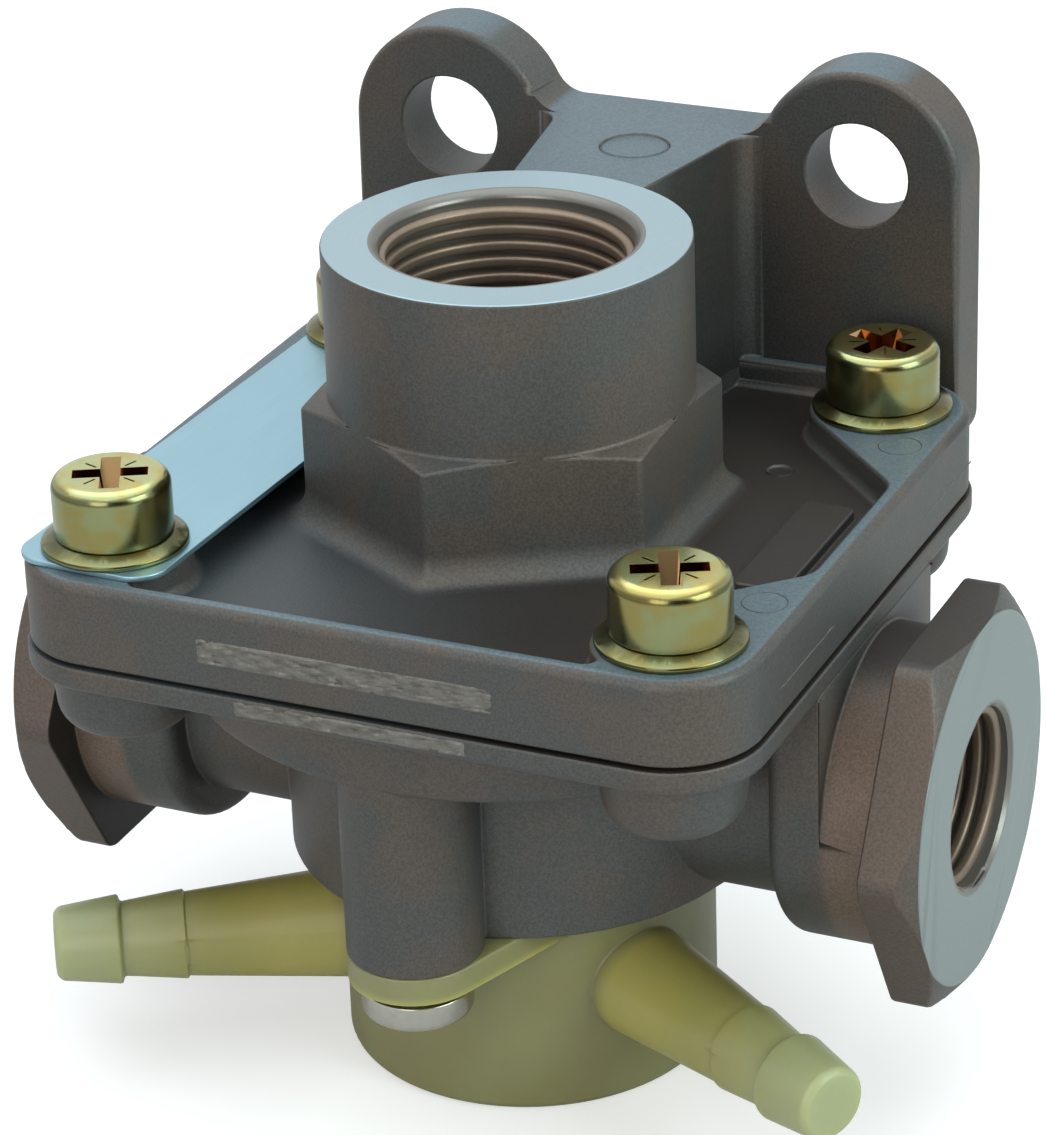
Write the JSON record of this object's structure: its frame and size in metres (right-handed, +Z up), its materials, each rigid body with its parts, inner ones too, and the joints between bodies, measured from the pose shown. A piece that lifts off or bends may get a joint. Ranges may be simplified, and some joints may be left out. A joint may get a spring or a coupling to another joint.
{
  "type": "air exhaust valve",
  "caption": "Pneumatic quick-release exhaust valve: cast body with side outlets, cover with inlet and mounting ears, and a moulded exhaust cap with hose barbs.",
  "frame": {"origin": "on the valve's vertical port axis, in the flat foot of the exhaust cap", "axes": "+Z up along the inlet axis, X along the two side outlets, +Y to the mounting bracket"},
  "size_m": [0.0864, 0.0721, 0.0835],
  "materials": {
    "casting": "die-cast aluminium, as cast",
    "nylon": "natural glass-filled nylon, slightly translucent",
    "plate": "brushed sheet",
    "rubber": "matt",
    "brass": "turned",
    "spring_steel": "drawn wire",
    "zinc": "yellow-passivated zinc plating"
  },
  "bodies": {
    "valve": {"cover": "casting", "body": "casting", "exhaust_cap": "nylon", "name_plate": "plate", "return_spring": "spring_steel", "cover_seal": "rubber", "cap_seal": "rubber", "cover_washer_front_left": "zinc", "cover_screw_front_left": "zinc", "cover_washer_front_right": "zinc", "cover_screw_front_right": "zinc", "cover_washer_rear_left": "zinc", "cover_screw_rear_left": "zinc", "cover_washer_rear_right": "zinc", "cover_screw_rear_right": "zinc", "cap_screw_1": "zinc", "cap_screw_2": "zinc", "cap_screw_3": "zinc"},
    "diaphragm_group": {"diaphragm": "rubber", "spring_seat": "brass"}
  },
  "joints": [
    {"name": "diaphragm_lift", "type": "slide", "parent": "valve", "child": "diaphragm_group", "axis": [0, 0, 1], "range_m": [-0.0015, 0], "stiffness_N_per_m": 600, "springref_m": 0.002, "deforming": ["return_spring"]}
  ]
}
